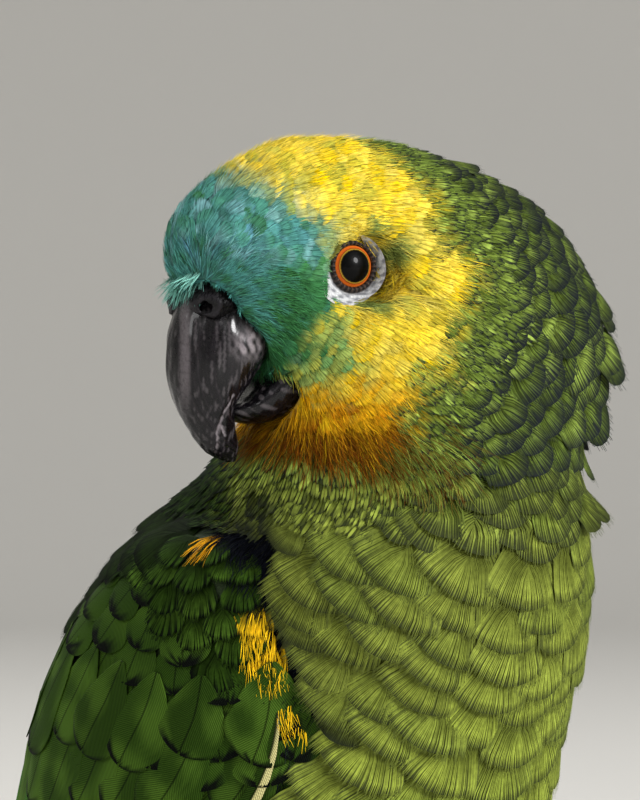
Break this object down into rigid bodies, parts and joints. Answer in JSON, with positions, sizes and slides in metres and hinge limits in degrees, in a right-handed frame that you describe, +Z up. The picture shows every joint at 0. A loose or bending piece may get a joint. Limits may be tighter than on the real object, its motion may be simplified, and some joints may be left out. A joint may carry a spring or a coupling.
{
  "type": "turquoise-fronted amazon parrot, life-size museum model",
  "caption": "Standing life-size green parrot with a yellow and turquoise face, head turned over its right shoulder, wings folded and tail resting on the ground.",
  "frame": {"origin": "on the floor, under the middle of the bird's bounding box", "axes": "+Z up, -Y the way the breast faces, +X the bird's left side; the bill points mostly along -X"},
  "size_m": [0.104, 0.206, 0.2486],
  "materials": {
    "head_feathers": "soft layered feathers, yellow and turquoise on the face, green on the nape",
    "neck_feathers": "soft layered feathers, green with dusky edges",
    "breast_feathers": "soft layered feathers, yellow-green with dusky edges",
    "wing_feathers": "smooth overlapping covert feathers, deep green with dark edges",
    "flight_feathers": "stiff flight feathers, dark green to blue-black",
    "tail_feathers": "stiff tail feathers, green with paler tips",
    "horn": "polished black horn, keratin",
    "cere_skin": "dark bare skin",
    "eye": "wet, polished eye with an orange iris",
    "foot_scales": "grey scaly skin",
    "claw_horn": "dark horn, keratin"
  },
  "bodies": {
    "root": {"head": "head_feathers", "upper_bill": "horn", "lower_bill": "horn", "cere": "cere_skin", "eye_right": "eye", "eye_left": "eye", "neck": "neck_feathers", "trunk": "breast_feathers", "tail": "tail_feathers", "wing_right": "wing_feathers", "primaries_right": "flight_feathers", "thigh_right": "breast_feathers", "shank_right": "foot_scales", "toe_inner_front_right": "foot_scales", "claw_inner_front_right": "claw_horn", "toe_outer_front_right": "foot_scales", "claw_outer_front_right": "claw_horn", "toe_inner_rear_right": "foot_scales", "claw_inner_rear_right": "claw_horn", "toe_outer_rear_right": "foot_scales", "claw_outer_rear_right": "claw_horn", "wing_left": "wing_feathers", "primaries_left": "flight_feathers", "thigh_left": "breast_feathers", "shank_left": "foot_scales", "toe_inner_front_left": "foot_scales", "claw_inner_front_left": "claw_horn", "toe_outer_front_left": "foot_scales", "claw_outer_front_left": "claw_horn", "toe_inner_rear_left": "foot_scales", "claw_inner_rear_left": "claw_horn", "toe_outer_rear_left": "foot_scales", "claw_outer_rear_left": "claw_horn"}
  },
  "joints": []
}
